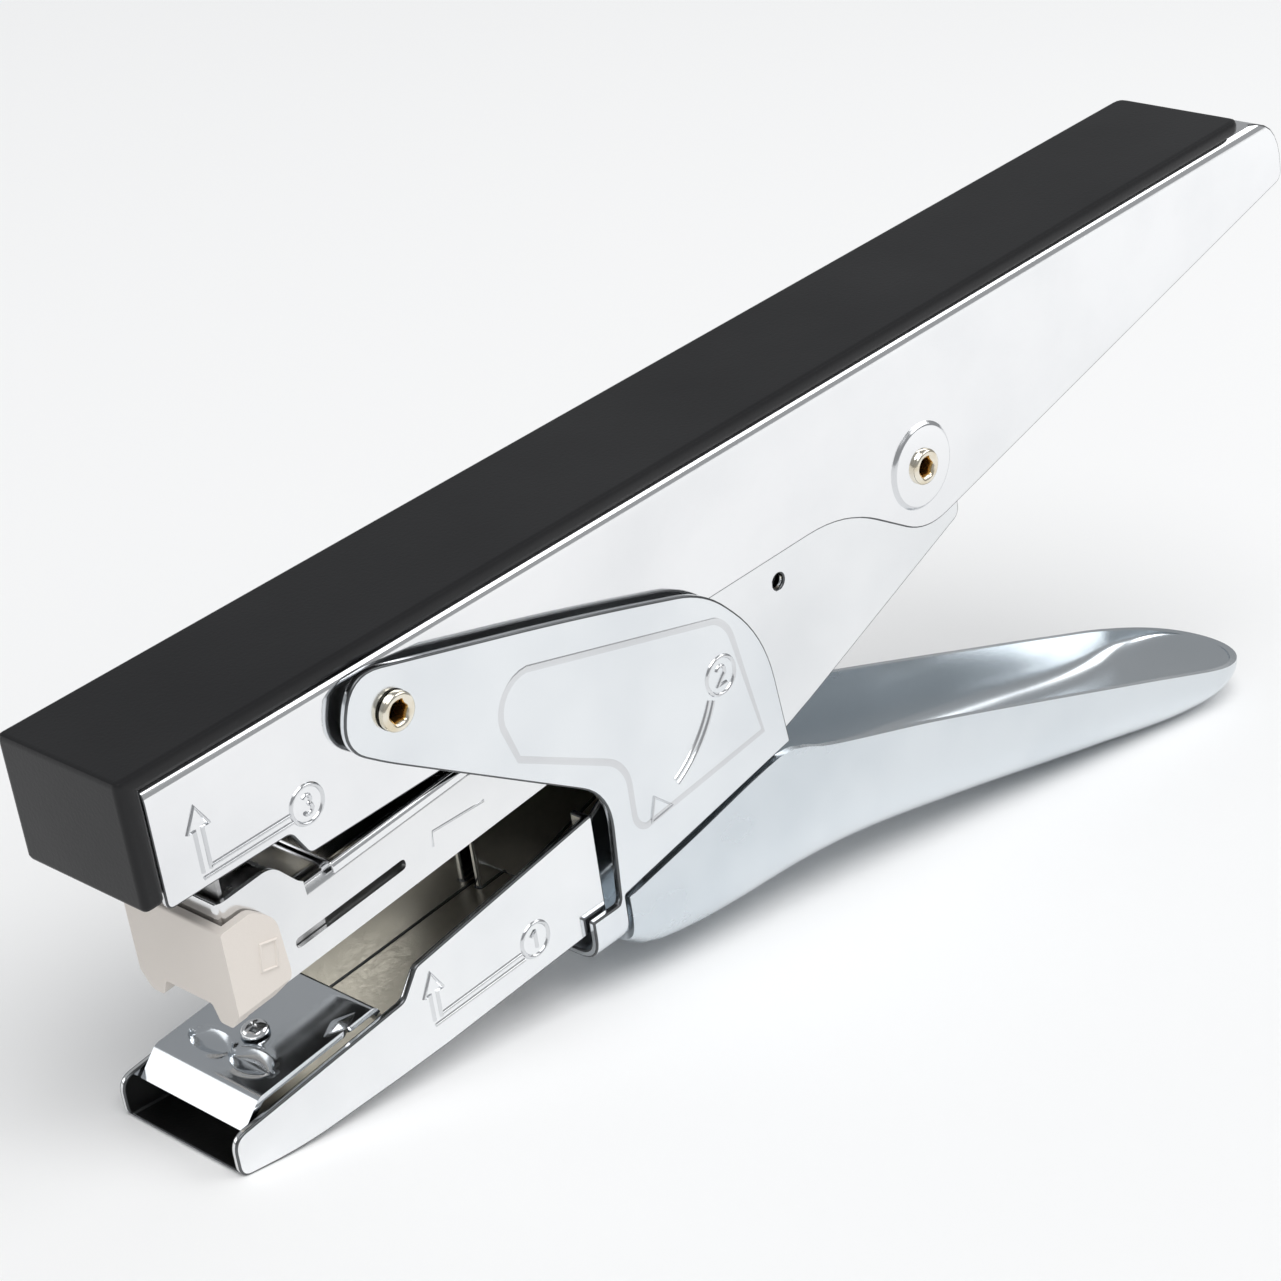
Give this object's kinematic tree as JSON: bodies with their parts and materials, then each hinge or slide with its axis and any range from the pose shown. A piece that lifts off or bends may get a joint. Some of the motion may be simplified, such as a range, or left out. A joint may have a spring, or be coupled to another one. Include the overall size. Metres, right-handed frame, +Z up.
{
  "type": "plier stapler",
  "caption": "Chromed hand plier stapler with a black top cap, a jaw under the magazine and a trough-shaped squeeze handle.",
  "frame": {"origin": "centre of the box round the standing tool, on the surface it stands on", "axes": "+X rearwards from the nose to the handle's end, +Z up as the tool stands on its jaw's toe and its handle's heel, +Y across the tool"},
  "size_m": [0.2148, 0.0256, 0.0895],
  "materials": {
    "chrome": "bright chrome on folded sheet",
    "handle_chrome": "bright chrome on pressed sheet",
    "jaw_chrome": "bright chrome on folded sheet",
    "magazine_chrome": "bright chrome",
    "satin_chrome": "softer chrome on a deep-drawn trough",
    "anvil_chrome": "mirror chrome",
    "black_plastic": "satin moulded plastic",
    "warm_plastic": "warm white moulded plastic",
    "rivet": "nickel-plated brass eyelet",
    "inner_steel": "plain bright steel",
    "spring_steel": "drawn spring steel"
  },
  "bodies": {
    "upper_handle": {"upper_housing": "chrome", "top_cap": "black_plastic", "driver_carrier": "inner_steel", "driver_blade": "inner_steel", "front_rivet": "rivet", "rear_rivet": "rivet", "front_washer_near": "inner_steel", "front_washer_far": "inner_steel", "rear_bush": "inner_steel", "jaw_spring": "spring_steel", "magazine_spring": "spring_steel"},
    "lower_handle": {"handle_bracket": "handle_chrome", "handle_trough": "satin_chrome"},
    "jaw": {"anvil_arm": "jaw_chrome", "anvil_plate": "anvil_chrome", "anvil_rivet": "anvil_chrome"},
    "magazine": {"magazine_body": "magazine_chrome", "staple_rail": "inner_steel", "rail_pin": "inner_steel", "pusher_rod": "inner_steel", "pusher_spring": "spring_steel", "magazine_cover": "magazine_chrome", "nosepiece": "warm_plastic"},
    "pusher": {"pusher": "inner_steel"}
  },
  "joints": [
    {"name": "squeeze", "type": "hinge", "parent": "upper_handle", "child": "lower_handle", "pos_m": [-0.07049, 0, 0.04948], "axis": [0, -1, 0], "range_deg": [0, 16], "stiffness_Nm_per_rad": 1.2, "springref_deg": -20.05},
    {"name": "jaw_close", "type": "hinge", "parent": "upper_handle", "child": "jaw", "pos_m": [0.02346, 0, 0.05488], "axis": [0, 1, 0], "range_deg": [0, 8.05], "deforming": ["jaw_spring"]},
    {"name": "magazine_rise", "type": "hinge", "parent": "upper_handle", "child": "magazine", "pos_m": [0.02346, 0, 0.05488], "axis": [0, 1, 0], "range_deg": [0, 4.2], "deforming": ["magazine_spring"]},
    {"name": "pusher_slide", "type": "slide", "parent": "magazine", "child": "pusher", "axis": [0.9659, 0, 0.2588], "range_m": [0, 0.06], "stiffness_N_per_m": 20, "springref_m": -0.05, "deforming": ["pusher_spring"]}
  ],
  "couplings": [
    {"joint": "jaw_close", "follows": "squeeze", "ratio": 0.503},
    {"joint": "magazine_rise", "follows": "squeeze", "ratio": 0.2625}
  ]
}
